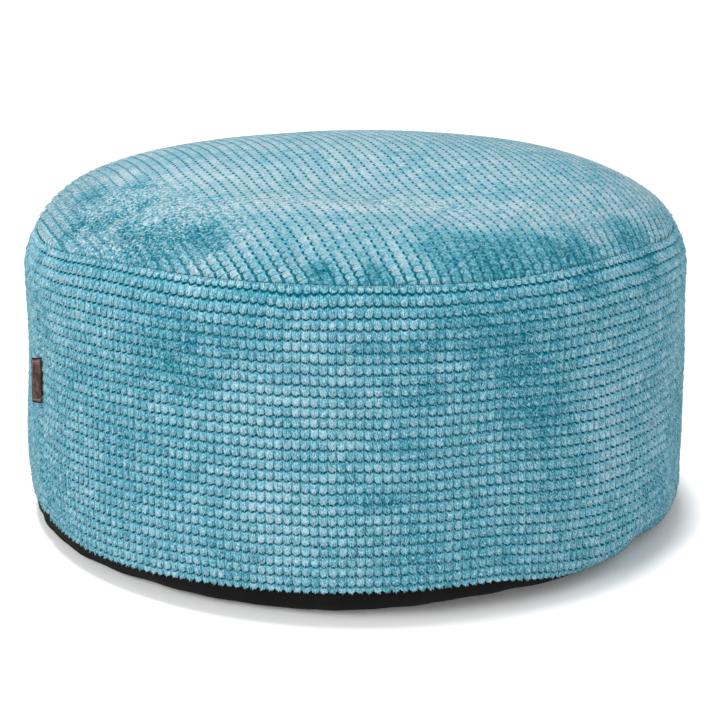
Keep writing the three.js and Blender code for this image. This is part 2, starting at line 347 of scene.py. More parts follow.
def brushed_side(points):
    """Which way the side's pile was last stroked, from -1, dark, to 1, light: the slow play and the patches,
    each e to the minus fourth power of the way out from its middle."""
    ragged = ragged_points(points)
    angle = np.degrees(np.arctan2(ragged[..., 1], ragged[..., 0]))
    total = slow_play(points, 0.35, 0.3)
    for p in BRUSHED_SIDE:
        aside = np.radians(turn_between(angle, p["angle"])) * WAIST_RADIUS / p["half_width"]
        up = (ragged[..., 2] - p["height"]) / p["half_height"]
        total = total + p["amount"] * bell(aside**2 + up**2)
    return np.clip(total, -1, 1)


def side_gap_shade(angle):
    """How much painted shade lies in the gaps between the side's tufts: most round the closing seam and at
    the right.
    """
    at_seam = bell(turn_between(angle, CLOSING_SEAM_ANGLE - 9) / 24)
    return 0.8 + 0.2 * at_seam + 0.2 * bell(turn_between(angle, 345) / 16)


def side_shag(brush):
    """How far the side's pile stands apart: only where it is stroked dark."""
    return 0.6 * np.clip(-brush, 0, 1)


# Plush colours. The deep colour is the pile's own deeper teal with painted shade low in the pile, and the
# side's hole colour is painted shade in the gaps between tufts.
PLUSH_DEEP = (0.003, 0.110, 0.155)
PLUSH_BODY = (0.088, 0.275, 0.345)
SIDE_GAP_SHADE = (0.000, 0.060, 0.092)
SIDE_PALE = (0.245, 0.384, 0.440)
SIDE_TIP = (0.330, 0.450, 0.510)


def set_input(tree, socket, value):
    """Link an input to another node's output, or set it to a number or a colour."""
    if isinstance(value, bpy.types.NodeSocket):
        tree.links.new(value, socket)
    elif isinstance(value, tuple):
        socket.default_value = (*value, 1)
    else:
        socket.default_value = value


def linked(tree, kind, **inputs):
    """A new node of that kind with its named inputs set."""
    node = tree.nodes.new(kind)
    for name, value in inputs.items():
        set_input(tree, node.inputs[name], value)
    return node


def calc(tree, operation, a, b=0.0):
    """The result of one sum on one or two numbers or sockets."""
    node = tree.nodes.new("ShaderNodeMath")
    node.operation = operation
    set_input(tree, node.inputs[0], a)
    set_input(tree, node.inputs[1], b)
    return node.outputs[0]


def faded(tree, value, low, high, out_low=0.0, out_high=1.0):
    """The value carried from one range to another, with soft ends."""
    node = tree.nodes.new("ShaderNodeMapRange")
    node.interpolation_type = "SMOOTHSTEP"
    tree.links.new(value, node.inputs["Value"])
    node.inputs["From Min"].default_value = low
    node.inputs["From Max"].default_value = high
    node.inputs["To Min"].default_value = out_low
    node.inputs["To Max"].default_value = out_high
    return node.outputs[0]


def ramp(tree, value, stops):
    """A colour read from a short list of (place, colour) stops."""
    node = linked(tree, "ShaderNodeValToRGB", Fac=value)
    while len(node.color_ramp.elements) < len(stops):
        node.color_ramp.elements.new(0.5)
    for element, (place, colour) in zip(node.color_ramp.elements, stops):
        element.position = place
        element.color = (*colour, 1)
    return node.outputs[0]


def blended(tree, share, first, second):
    """Two colours mixed by a share."""
    node = tree.nodes.new("ShaderNodeMix")
    node.data_type = "RGBA"
    for place, value in ((0, share), (6, first), (7, second)):
        set_input(tree, node.inputs[place], value)
    return node.outputs[2]


def attribute(tree, name):
    """The value of a point's attribute."""
    node = tree.nodes.new("ShaderNodeAttribute")
    node.attribute_name = name
    return node.outputs["Fac"]


def noise(tree, vector, scale, detail):
    """Smooth noise over a vector, from 0 to 1."""
    return linked(tree, "ShaderNodeTexNoise", Vector=vector, Scale=scale, Detail=detail).outputs["Fac"]


def cloth_map(tree):
    """The UV map, as a vector and as its two numbers."""
    cloth = tree.nodes.new("ShaderNodeUVMap")
    cloth.uv_map = "cloth"
    split = linked(tree, "ShaderNodeSeparateXYZ", Vector=cloth.outputs[0])
    return cloth.outputs[0], split.outputs[0], split.outputs[1]


def new_material(name, roughness, shine):
    """A material with its shader, ready for links, and the tree that holds it. With a shine of zero it has
    no glint at its edges either."""
    material = bpy.data.materials.new(name)
    material.use_nodes = True
    tree = material.node_tree
    shader = tree.nodes["Principled BSDF"]
    shader.inputs["Roughness"].default_value = roughness
    shader.inputs["Specular IOR Level"].default_value = shine
    if shine == 0:
        shader.inputs["IOR"].default_value = 1.0
    return material, tree, shader


def finish_surface(tree, shader, colour, strength, depth, height):
    """Give the shader its colour, and a relief that follows height, depth metres deep."""
    relief = linked(tree, "ShaderNodeBump", Strength=strength, Distance=depth, Height=height)
    tree.links.new(colour, shader.inputs["Base Color"])
    tree.links.new(relief.outputs[0], shader.inputs["Normal"])


def weighted(tree, start, terms):
    """start plus each socket, less its middle, times its weight."""
    total = start
    for socket, middle, weight in terms:
        part = calc(tree, "MULTIPLY", calc(tree, "SUBTRACT", socket, middle), weight)
        total = calc(tree, "ADD", part, total)
    return total


# The pitch of the fibre noise follows the cloth's own. STREAK_SHARE draws it out the way the fibres lie.
STITCH_PITCH = 8.0
RIB_PITCH = 9.7
STREAK_SHARE = 0.58
# The dark hole in the valley beside the middle of each tuft: its half length in stitches
HOLE_HALF = 0.26


def plush_material(
    name, middle_tone, fibre_share, brush_share, rib_shade, valley_edge, pale, tip_colour, gap_shade_colour
):
    """Plush of many fine fibres. Its tone goes from deep between the fibres to pale at their tips: the pile's
    own deeper colour and painted shade low in the pile. Each tuft is a little lighter or darker, and the tone
    falls across each rib, painted shade under the row above. The UV map counts stitches and ribs: painted
    shade lies in the gaps along the valleys, from valley_edge on, and, fainter, where two tufts meet. A
    valley is darkest beside a tuft's middle, and elsewhere only as dark as the attribute open says. Where the
    attribute shag is high, strands of the pile stand apart and hide the gaps."""
    material, tree, shader = new_material(name, roughness=0.95, shine=0.0)
    cloth, u, v = cloth_map(tree)
    stitch = calc(tree, "FRACT", u)
    rib = calc(tree, "FRACT", v)
    shag = attribute(tree, "shag")
    gap_shade_share = attribute(tree, "open")
    tip = attribute(tree, "tip")

    # Painted shade: the valleys, darkest beside each tuft's middle, and where two tufts meet, less where tips
    # and shagged strands lie over them.
    valley = faded(tree, rib, valley_edge, valley_edge + 0.1)
    valley = calc(tree, "MAXIMUM", valley, faded(tree, rib, 0.01, 0.06, 1.0, 0.0))
    from_hole = calc(tree, "ABSOLUTE", calc(tree, "SUBTRACT", stitch, 0.5))
    hole = faded(tree, from_hole, HOLE_HALF - 0.06, HOLE_HALF + 0.06, 1.0, 0.0)
    valley = calc(tree, "MULTIPLY", valley, calc(tree, "MAXIMUM", hole, gap_shade_share))
    from_meeting = calc(tree, "MINIMUM", stitch, calc(tree, "SUBTRACT", 1.0, stitch))
    meeting = faded(tree, from_meeting, 0.03, 0.13, 1.0, 0.0)
    meeting = calc(tree, "MULTIPLY", meeting, faded(tree, rib, 0.1, 0.6, 1.0, 0.5))
    meeting = calc(tree, "MULTIPLY", meeting, calc(tree, "POWER", gap_shade_share, 2.0))
    gap_shade = calc(tree, "MAXIMUM", valley, meeting)
    shown = calc(tree, "SUBTRACT", 1.0, calc(tree, "MULTIPLY", tip, 0.3))
    shown = calc(tree, "SUBTRACT", shown, calc(tree, "MULTIPLY", shag, 0.65))
    dark = calc(tree, "MULTIPLY", gap_shade, calc(tree, "MAXIMUM", shown, 0.0))

    streak = linked(tree, "ShaderNodeMapping", Vector=cloth)
    streak.inputs["Scale"].default_value = (STITCH_PITCH, RIB_PITCH * STREAK_SHARE, 1)
    fibre = noise(tree, streak.outputs[0], scale=0.9, detail=1.0)
    place = tree.nodes.new("ShaderNodeTexCoord").outputs["Object"]
    strand = noise(tree, place, scale=360.0, detail=1.0)
    cell = linked(tree, "ShaderNodeCombineXYZ", X=calc(tree, "FLOOR", u), Y=calc(tree, "FLOOR", v))
    own = linked(tree, "ShaderNodeTexWhiteNoise", Vector=cell.outputs[0]).outputs["Value"]
    fleck = calc(tree, "MULTIPLY", faded(tree, strand, 0.36, 0.64, -0.5, 0.5), shag)
    terms = (
        (tip, 0.45, 0.5),
        (fibre, 0.5, fibre_share),
        (strand, 0.5, 0.55),
        (own, 0.5, 0.18),
        # painted shade under the row above: the tone falls across each rib
        (rib, 0.4, -rib_shade),
        (attribute(tree, "brush"), 0.0, brush_share),
        (fleck, 0.0, 0.42),
    )
    tone = weighted(tree, middle_tone, terms)
    # the painted shade darkens the tone, and where deepest turns the colour to the gap's shade colour
    tone = calc(tree, "MULTIPLY", tone, calc(tree, "SUBTRACT", 1.0, dark))
    colour = ramp(tree, tone, ((0.0, PLUSH_DEEP), (0.45, PLUSH_BODY), (0.75, pale), (1.0, tip_colour)))
    colour = blended(tree, calc(tree, "POWER", dark, 2.0), colour, gap_shade_colour)
    finish_surface(tree, shader, colour, strength=0.5, depth=0.001, height=fibre)
    return material


side_plush = plush_material(
    "side_plush",
    middle_tone=0.59,
    fibre_share=1.75,
    brush_share=0.26,
    rib_shade=0.22,
    valley_edge=0.79,
    pale=SIDE_PALE,
    tip_colour=SIDE_TIP,
    gap_shade_colour=SIDE_GAP_SHADE,
)


def side_band():
    """The band's outside as rings of points, one for each row place of each rib, closed by a fan at the
    bottom and at the top inside the pouf, as the solid is."""
    count = BAND_STITCHES * COLUMNS_PER_STITCH
    ribs = (np.arange(np.ceil(HIGH_CUT))[:, None] + np.array(ROW_PLACES)).ravel()
    ribs = ribs[(ribs > LOW_CUT + 3 * CUT_SLACK) & (ribs < HIGH_CUT - 3 * CUT_SLACK)]
    ribs = np.concatenate([[LOW_CUT], ribs, [HIGH_CUT]])
    along = np.arange(count) / COLUMNS_PER_STITCH
    u, v = np.meshgrid(along, ribs)
    height = tuft_height(u, v)
    outside = band_point(u, v, TUFT_DEPTH * height)
    rough = soft_vectors(outside, ROUGH_SIZE, seeds=(11, 12, 13))
    outside = outside + TUFT_ROUGHNESS * height[..., None] * rough
    centres = [(0, 0, BASE_CENTRE_HEIGHT), (0, 0, TOP_CENTRE_HEIGHT)]
    points = np.concatenate([outside.reshape(-1, 3), centres])
    triangles, unrolled = closed_rings(len(ribs), count)
    corner_u = (unrolled % (count + 1)) / COLUMNS_PER_STITCH
    corner_v = ribs[unrolled // (count + 1)]
    uv = np.concatenate([np.stack([corner_u, corner_v], axis=-1).reshape(-1, 2), np.zeros((6 * count, 2))])
    # Lower in each tuft the tip mark is less and the tone deeper: the pile's own deeper colour and painted
    # shade.
    tip = np.append(TUFT_TIP * height.ravel(), (0, 0))
    brush = np.append(brushed_side(outside).ravel(), (0, 0))
    angle = np.degrees(np.arctan2(points[:, 1], points[:, 0]))
    marks = {"tip": tip, "brush": brush, "shag": side_shag(brush), "open": side_gap_shade(angle)}
    piece = new_piece("side_band_plush", points, triangles, side_plush, uv, marks)
    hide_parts("side_band")


side_band()

# Pile of the side band: the ends of the fibres, caught together in small pointed locks that stand out of
# every tuft and lie down over it. Each lock is a slim closed spike, rooted in the tuft.

LOCKS_ALONG = 3
LOCKS_ACROSS = 4
LOCK_REACH = 4.2
LOCK_STAND = 1.2
LOCK_WIDTH = 0.7
LOCK_ROOT_DEPTH = 0.6
LOCK_ROOT_TIP = 0.1
# Where locks start in a tuft and how far they spread over it, in stitches and in ribs
START_ALONG = 0.11
SPREAD_ALONG = 0.78
START_ACROSS = 0.06
SPREAD_ACROSS = 0.76
# How far a lock may reach from the far side of its rib, in millimetres, to end at the rib's edge
ROOM_PER_RIB = 10


def scattered(stitches, ribs, seed):
    """Jittered places in every tuft, how far along in stitches and across in ribs, kept off the valleys, and
    the source of random numbers to go on with."""
    rng = np.random.default_rng(seed)
    shape = (len(ribs), len(stitches), LOCKS_ACROSS, LOCKS_ALONG)
    along = START_ALONG + SPREAD_ALONG * (np.arange(LOCKS_ALONG) + rng.uniform(0, 1, shape)) / LOCKS_ALONG
    across = (np.arange(LOCKS_ACROSS)[:, None] + rng.uniform(0.05, 0.95, shape)) / LOCKS_ACROSS
    across = START_ACROSS + SPREAD_ACROSS * across
    u = np.array(stitches)[None, :, None, None] + along
    v = np.array(ribs)[:, None, None, None] + across
    return u.ravel(), v.ravel(), rng


def unit(a):
    """The same vectors, each one long."""
    return a / np.maximum(np.linalg.norm(a, axis=-1, keepdims=True), 1e-9)


def across_vectors(a, b):
    """The cross product of two lists of vectors, each made one long."""
    return unit(np.cross(a, b))


def pile(name, root, outward, lean, room, rise, uv, brush, shag, material, rng):
    """Locks as closed three-sided spikes. Each tip stands rise times LOCK_STAND out from the root and
    LOCK_REACH along lean, or only as far as there is room, all times random shares. Its foot is a triangle
    in the tuft. Where shag is high the pile stands up more and strays more."""
    count = len(root)
    stray = rng.normal(0, 1, (count, 3)) * (0.25 * rise + 0.8 * shag)[:, None]
    reach = np.minimum(LOCK_REACH * rng.uniform(0.6, 1.2, count) * (1 - 0.4 * shag), room)
    stand = LOCK_STAND * np.maximum(rise, 0.6 * shag) * rng.uniform(0.6, 1.3, count) * (1 + 0.6 * shag)
    foot = root - LOCK_ROOT_DEPTH * outward
    tip_point = root + stand[:, None] * outward + reach[:, None] * unit(lean) + stray
    way = unit(tip_point - foot)
    side = across_vectors(way, outward)
    back = across_vectors(side, way)
    width = LOCK_WIDTH * rng.uniform(0.7, 1.25, count)[:, None]
    corners = [foot + width * (np.cos(t) * side + np.sin(t) * back) for t in np.radians((90, 210, 330))]
    points = np.stack([*corners, tip_point], axis=1).reshape(-1, 3)
    spike = np.array([(0, 1, 2), (0, 3, 1), (1, 3, 2), (2, 3, 0)])
    triangles = (4 * np.arange(count)[:, None, None] + spike).reshape(-1, 3)
    corner_uv = np.repeat(uv, 12, axis=0)
    # The roots carry a low tip mark and are deeper in tone: the pile's own deeper colour and painted shade.
    tip = np.tile((LOCK_ROOT_TIP, LOCK_ROOT_TIP, LOCK_ROOT_TIP, 1.0), count)
    tip = tip * np.repeat(rng.uniform(0.65, 1.15, count), 4)
    marks = {"tip": tip, "brush": np.repeat(brush, 4), "shag": np.repeat(shag, 4)}
    return new_piece(name, points, triangles, material, corner_uv, marks)


def side_pile(name, ribs, seed):
    """The locks of some of the band's ribs. They lie down over the tuft and end at its lower edge, so that
    the valley below stays open. Those next to the top seam lie up over it."""
    u, v, rng = scattered(range(BAND_STITCHES), ribs, seed)
    keep = (v > LOW_CUT + 0.04) & (v < HIGH_CUT - 0.04)
    u, v = u[keep], v[keep]
    root = band_point(u, v, TUFT_DEPTH * tuft_height(u, v))
    step = 0.03
    along = unit(band_point(u + step, v, 0) - band_point(u - step, v, 0))
    upward = unit(band_point(u, v + step, 0) - band_point(u, v - step, 0))
    outward = across_vectors(along, upward)
    brush = brushed_side(root)
    room = ROOM_PER_RIB * np.where(v < 1, v - LOW_CUT, v % 1) + rng.uniform(-0.2, 0.5, len(v))
    side_lean = 0.1 + 0.3 * soft_noise(root, 40, 14)
    downward = np.where(v > HIGH_CUT - 0.25, -1.3, 1)[:, None]
    lean = -upward * downward + side_lean[:, None] * along
    uv = np.stack([u, v], axis=-1)
    shag = side_shag(brush)
    piece = pile(name, root, outward, lean, room, np.ones(len(u)), uv, brush, shag, side_plush, rng)


side_pile("side_pile_lower", range(0, 14), seed=21)
side_pile("side_pile_upper", range(14, 29), seed=22)

# Top panel: a round of the same plush, filled to a low dome and sat in towards the front. Its ribs run
# straight across at an angle and end at the seam. The cloth is flat when cut, so its ribs crowd at the rim.

APEX_HEIGHT = 380
# The power of the dome round the turn: low where the rim is plump and high where it is flat
FULLNESS = {
    "angle": (10, 32, 60, 90, 120, 150, 165, 180, 205, 240, 300, 345),
    "power": (0.53, 0.48, 0.62, 0.74, 0.74, 0.54, 0.48, 0.53, 0.54, 0.66, 0.66, 0.54),
}
# The wide hollow at the front, where the top is sat in
SAT_IN = {"x": 30, "y": -132, "half_x": 170, "half_y": 85, "depth": 16}
TOP_RIB_TURN = 20
TOP_RIBS = 65
TOP_STITCHES = 81
TOP_PLACES = (0.0, 0.11, 0.34, 0.62, 0.9)
TOP_HEIGHTS = (0.0, 0.86, 1.0, 0.92, 0.76)
TOP_POINTS_PER_STITCH = 4
TOP_TUFT_DEPTH = 2.6
TOP_SCALLOP = 1.5
TOP_WANDER_ALONG = 1.1
TOP_WANDER_ACROSS = 0.8
# How far the tufts stand up where the top is sat flat, and the part of the radius over which they fill out
FLAT_PLUMPNESS = 0.14
PLUMP_FROM = 0.64
PLUMP_WAY = 0.24
# How much further out than evenly the cloth lies near the middle
CLOTH_EASE = 0.06
# The part of the squared way out, next to the seam, over which the hollows fade
HOLLOW_FADE = 0.09
# Small hollows in the top, mostly along its rim, at an angle and a radius
TOP_HOLLOWS = rows(
    "angle radius half_along half_across depth",
    (262, 296, 16, 14, 4),
    (275, 300, 14, 12, 4),
    (319, 296, 20, 22, 3),
    (210, 306, 9, 14, 5),
    (219, 272, 20, 9, 5),
    (226, 293, 12, 20, 4),
    (242, 278, 16, 10, 4),
    (301, 299, 12, 16, 3),
    (310, 302, 12, 16, 4),
    (293, 217, 30, 60, 4),
)
# Patches of the top stroked dark, below zero, or light, by x and y
BRUSHED_TOP = rows(
    "x y half_x half_y amount",
    (-265, -155, 14, 19, -1),
    (-256, -94, 16, 33, -0.8),
    (-202, -162, 12, 16, -0.9),
    (-207, -204, 14, 21, -0.9),
    (-234, -176, 12, 15, -0.8),
    (-171, -240, 34, 39, -0.8),
    (-129, -244, 16, 30, -0.8),
    (-207, -104, 20, 18, -0.5),
    (-234, -50, 24, 30, 0.5),
    (-28, -310, 12, 14, -0.8),
    (20, -316, 12, 13, -0.8),
    (109, -282, 50, 35, -0.9),
    (151, -260, 40, 40, -0.6),
    (201, -242, 30, 26, -0.9),
    (265, -180, 30, 35, -0.8),
    (230, -58, 40, 30, -0.3),
    (0, -202, 130, 18, 0.3),
    (124, -168, 60, 15, 0.25),
    (-143, -98, 60, 30, 0.2),
)
# Patches of the top where the pile stands apart and hides the ribs
RUFFLED_TOP = rows(
    "x y half_x half_y amount",
    (-217, -168, 66, 92, 0.9),
    (-152, -226, 60, 60, 0.8),
    (-284, -10, 36, 128, 0.6),
    (0, -182, 150, 12, 0.8),
    (216, -208, 40, 48, 0.4),
)


def top_height(angle, radius, seam_radius):
    """Height of the top: a dome from the seam to the apex, as a power of one less the squared way out, less
    the hollows, which fade out near the seam."""
    seam_height = read_round(TOP_SEAM, "height", angle)
    t = np.radians(angle)
    hollow = SAT_IN["depth"] * bell((radius * np.cos(t) - SAT_IN["x"]) / SAT_IN["half_x"])
    hollow = hollow * bell((radius * np.sin(t) - SAT_IN["y"]) / SAT_IN["half_y"])
    for h in TOP_HOLLOWS:
        aside = np.radians(turn_between(angle, h["angle"])) * radius / h["half_across"]
        hollow = hollow + h["depth"] * bell((radius - h["radius"]) / h["half_along"]) * bell(aside)
    out = np.clip(radius / seam_radius, 0, 1) ** 2
    dome = (APEX_HEIGHT - seam_height) * (1 - out) ** read_round(FULLNESS, "power", angle)
    return seam_height + dome - hollow * np.clip((1 - out) / HOLLOW_FADE, 0, 1)


def top_base(across, along):
    """A place on the smooth top, from its place on the flat round of cloth, both as shares of the cloth's
    radius. A ring of the cloth lies further out by CLOTH_EASE times its share less its seventh power."""
    share = np.minimum(np.hypot(across, along), 1)
    angle = np.degrees(np.arctan2(along, across)) + TOP_RIB_TURN
    seam_radius = side_radius(angle, read_round(TOP_SEAM, "height", angle)) - SEAM_TUCK
    radius = ((1 + CLOTH_EASE) * share - CLOTH_EASE * share**7) * seam_radius
    return polar(angle, radius, top_height(angle, radius, seam_radius))


def top_frame(across, along):
    """The smooth top's place and its unit vectors across the ribs, along them and outward."""
    step = 0.002
    inner = np.minimum(1, 0.995 / np.maximum(np.hypot(across, along), 1e-6))
    a, b = across * inner, along * inner
    over = unit(top_base(a + step, b) - top_base(a - step, b))
    on = unit(top_base(a, b + step) - top_base(a, b - step))
    return top_base(across, along), over, on, across_vectors(over, on)


def from_hole(u):
    """How far along the rib a place is from the hole beside the middle of its tuft, in stitches."""
    return np.abs(u % 1 - 0.5)


def top_lift(u, v, share):
    """Lift of the tufts at u stitches and v ribs, less near the seam. Beside the middle of each tuft the
    valley is a deep hole, and between holes the pile closes over it."""
    meeting = np.abs(2 * (u % 1) - 1) ** 3
    profile = np.interp(v % 1, TOP_PLACES + (1.0,), TOP_HEIGHTS + (0.0,))
    closed = np.clip((from_hole(u) - 0.12) / 0.2, 0, 1)
    bridge = closed * (0.15 + 0.75 * np.clip((1 - share) / 0.14, 0, 1))
    height = np.maximum(profile, bridge) * (1 - 0.2 * meeting)
    return (TOP_TUFT_DEPTH * plumpness(share) * (height - 1) - PILE_ROOM) * np.clip((1 - share) / 0.02, 0, 1)


def plumpness(share):
    """How far the tufts stand up: low over the middle, where they are sat flat, and full at the rim."""
    return FLAT_PLUMPNESS + (1 - FLAT_PLUMPNESS) * np.clip((share - PLUMP_FROM) / PLUMP_WAY, 0, 1)


def top_wander(base):
    """How far the tufts stray from straight lines, along and across, in millimetres."""
    return TOP_WANDER_ALONG * soft_noise(base, 30, 15), TOP_WANDER_ACROSS * soft_noise(base, 24, 16)


def patchwork(points, patches):
    """The sum of a table's patches at points of the top, each one an oval with a ragged edge."""
    ragged = ragged_points(points)
    total = 0
    for p in patches:
        x = (ragged[..., 0] - p["x"]) / p["half_x"]
        y = (ragged[..., 1] - p["y"]) / p["half_y"]
        total = total + p["amount"] * bell(x**2 + y**2)
    return total


def brushed_top(points):
    """Which way the top's pile was last stroked, from -1, dark, to 1, light: slow play and patches."""
    return np.clip(slow_play(points, 0.2, 0.2) + patchwork(points, BRUSHED_TOP), -1, 1)


def top_shag(points, brush):
    """How far the top's pile stands apart: in the ruffled patches, and a little where it is stroked dark."""
    return np.maximum(np.clip(patchwork(points, RUFFLED_TOP), 0, 1), 0.5 * np.clip(-brush, 0, 1))


def top_gap_shade(share):
    """How much painted shade lies in the gaps between the top's tufts: a little over the top, and most next
    to the seam.
    """
    return 0.16 + 0.74 * np.clip(1.3 - (1 - share) / 0.1, 0, 1)


def cloth_place(u, v):
    """The place on the flat round at u stitches along and v ribs across: its way across, its way along and
    its way out from the middle, as shares of the round's radius."""
    across = 2 * v / TOP_RIBS - 1
    along = 2 * u / TOP_STITCHES - 1
    return across, along, np.hypot(across, along)


def top_surface(u, v):
    """The top's outside at u stitches along and v ribs across, and its unit vectors as in top_frame."""
    across, along, share = cloth_place(u, v)
    share = np.minimum(share, 1)
    base, over, on, out = top_frame(across, along)
    stray_on, stray_over = top_wander(base)
    edge = np.clip((1 - share) / 0.03, 0, 1)
    curve = TOP_SCALLOP * round_edge(u)
    near_valley = 1 - 2 * np.minimum(v % 1, 1 - v % 1)
    lift = top_lift(u, v, share)
    moved = base + (edge * stray_on)[..., None] * on
    moved = moved + (edge * (stray_over + curve * near_valley))[..., None] * over
    return moved + lift[..., None] * out, over, on, out


# The top's plush: its hole colour is painted shade in the gaps. Its pale colours and middle tone are paler
# than the side's: painted sheen of the pile tips, seen at a grazing angle under the light from above, along
# with the pile lying lighter there.
TOP_GAP_SHADE = (0.001, 0.085, 0.120)
TOP_PALE_SHEEN = (0.285, 0.374, 0.414)
TOP_TIP_SHEEN = (0.385, 0.474, 0.508)
top_plush_sheen = plush_material(
    "top_plush_sheen",
    middle_tone=0.65,
    fibre_share=0.9,
    brush_share=0.34,
    rib_shade=0.06,
    valley_edge=0.71,
    pale=TOP_PALE_SHEEN,
    tip_colour=TOP_TIP_SHEEN,
    gap_shade_colour=TOP_GAP_SHADE,
)


def top_grid():
    """Stitches and ribs of a grid of points, on lines along the ribs. What lies past the edge of the round
    is gathered onto the edge. Also which points lie on the edge, and each grid place's point number."""
    ribs = np.append((np.arange(TOP_RIBS)[:, None] + np.array(TOP_PLACES)).ravel(), TOP_RIBS)
    stitches = np.arange(TOP_STITCHES * TOP_POINTS_PER_STITCH + 1) / TOP_POINTS_PER_STITCH
    across = 2 * ribs / TOP_RIBS - 1
    half = np.sqrt(np.clip(1 - across**2, 0, None))[:, None]
    middle = (len(stitches) - 1) / 2
    reach = np.floor(half * middle).astype(int)
    ends = (np.ceil(middle).astype(int) - reach, np.floor(middle).astype(int) + reach)
    low, high = np.minimum(*ends), np.maximum(*ends)
    held = np.clip(np.arange(len(stitches))[None, :], low, high)
    on_edge = (held == low) | (held == high)
    edge_u = (1 + np.where(held == low, -1, 1) * half) * TOP_STITCHES / 2
    u = np.where(on_edge, edge_u, stitches[held])
    v = np.repeat(ribs[:, None], len(stitches), axis=1)
    index = np.take_along_axis(np.arange(v.size).reshape(v.shape), held, axis=1)
    index[0] = index[0, low[0, 0]]
    index[-1] = index[-1, low[-1, 0]]
    return u, v, on_edge, index


def top_triangles(index):
    """Two triangles for each cell of the grid, but for those closed up by the gathering, and a fan from the
    edge to the centre point, which comes last."""
    a, b, c, d = index[:-1, :-1], index[1:, :-1], index[1:, 1:], index[:-1, 1:]
    triangles = np.concatenate([np.stack(corners, -1).reshape(-1, 3) for corners in ((a, b, c), (a, c, d))])
    closed_up = (triangles == np.roll(triangles, 1, axis=1)).any(axis=1)
    edge = np.concatenate([index[:, 0], index[1:-1, -1][::-1]])
    return np.concatenate([triangles[~closed_up], fan(edge, index.size, upward=False)])


def top_panel():
    """The tufted outside on its grid, held to the seam at the edge, over a fan inside the pouf. Points that
    no triangle uses are dropped."""
    u, v, on_edge, index = top_grid()
    points = top_surface(u, v)[0]
    angle = np.degrees(np.arctan2(points[..., 1], points[..., 0]))
    rim_height = read_round(TOP_SEAM, "height", angle) + PIECE_GAP
    points[..., 2] = np.where(on_edge, rim_height, points[..., 2])
    used, renamed = np.unique(top_triangles(index), return_inverse=True)
    triangles = renamed.reshape(-1, 3)
    points = np.concatenate([points.reshape(-1, 3), [(0, 0, TOP_CENTRE_HEIGHT + PIECE_GAP)]])[used]
    u = np.append(u.ravel(), 0)[used]
    v = np.append(v.ravel(), 0)[used]
    share = cloth_place(u, v)[2]
    lift = top_lift(u, v, np.minimum(share, 1))
    # Lower in each tuft the tip mark is less and the tone deeper: the pile's own deeper colour and painted
    # shade.
    tip = TUFT_TIP * np.clip(1 + (lift + PILE_ROOM) / TOP_TUFT_DEPTH, 0, 1)
    uv = np.stack([u, v], axis=-1)[triangles].reshape(-1, 2)
    brush = brushed_top(points)
    marks = {"tip": tip, "brush": brush, "shag": top_shag(points, brush), "open": top_gap_shade(share)}
    piece = new_piece("top_panel_plush", points, triangles, top_plush_sheen, uv, marks)
    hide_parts("top_panel")


top_panel()

# Pile of the top: the same small pointed locks. They are left out of the holes, and over the middle, where
# the top is sat on, they lie nearly flat.


def top_pile():
    """The locks of the top. They lean across the ribs, to the left, and a little along them, and next to the
    seam they hang down over it."""
    u, v, rng = scattered(range(TOP_STITCHES), range(TOP_RIBS), seed=23)
    share = cloth_place(u, v)[2]
    root, over, on, outward = top_surface(u, v)
    brush = brushed_top(root)
    shag = top_shag(root, brush)
    in_hole = ((from_hole(u) < HOLE_HALF + 0.1) | (share > 0.9)) & (v % 1 > 0.68)
    keep = (share < 0.994) & ~(in_hole & (shag < 0.4))
    u, v, share, brush, shag = (a[keep] for a in (u, v, share, brush, shag))
    root, over, on, outward = (a[keep] for a in (root, over, on, outward))
    room = ROOM_PER_RIB * (v % 1) - 0.5 + rng.uniform(-0.2, 0.4, len(v)) + 3 * (from_hole(u) > 0.3) + 4 * shag
    lean = -over - (0.2 + 0.35 * soft_noise(root, 40, 17))[:, None] * on
    rim = (share > 0.985)[:, None]
    down = unit(root * (1, 1, 0)) - (0, 0, 0.8)
    lean = np.where(rim, down, lean)
    uv = np.stack([u, v], axis=-1)
    rise = 0.9 * plumpness(share)
    piece = pile("top_pile", root, outward, lean, room, rise, uv, brush, shag, top_plush_sheen, rng)


top_pile()

# Base panel: a round of plain black cloth, flat on the floor and drawn up to the seam under the plush. It
# is pulled by the seam into soft upright puckers where it turns up.

BASE_RINGS = 14
BASE_COLUMNS = 720
BASE_INSET = 1.3
SEAM_INSET = 3
PUCKER_DEPTH = 1.1
TURN_UNDER = 3.5
CLOTH_BLACK = (0.0016, 0.0015, 0.0014)
CLOTH_WORN = (0.0040, 0.0038, 0.0036)


def cloth_material():
    """Plain woven cloth: two fine crossed ribs of thread, dull, with a slow change from wear."""
    material, tree, shader = new_material("base_cloth", roughness=0.95, shine=0.12)
    place = tree.nodes.new("ShaderNodeTexCoord").outputs["Object"]
    threads = []
    for turn in (0, 90):
        turned = linked(tree, "ShaderNodeMapping", Vector=place)
        turned.inputs["Rotation"].default_value = (0, 0, np.radians(turn))
        wave = linked(tree, "ShaderNodeTexWave", Vector=turned.outputs[0], Scale=420.0, Distortion=1.0)
        threads.append(wave.outputs["Fac"])
    weave = calc(tree, "MULTIPLY", threads[0], threads[1])
    wear = noise(tree, place, scale=14.0, detail=4.0)
    colour = blended(tree, faded(tree, wear, 0.3, 0.7), CLOTH_BLACK, CLOTH_WORN)
    finish_surface(tree, shader, colour, strength=0.4, depth=0.0004, height=weave)
    return material


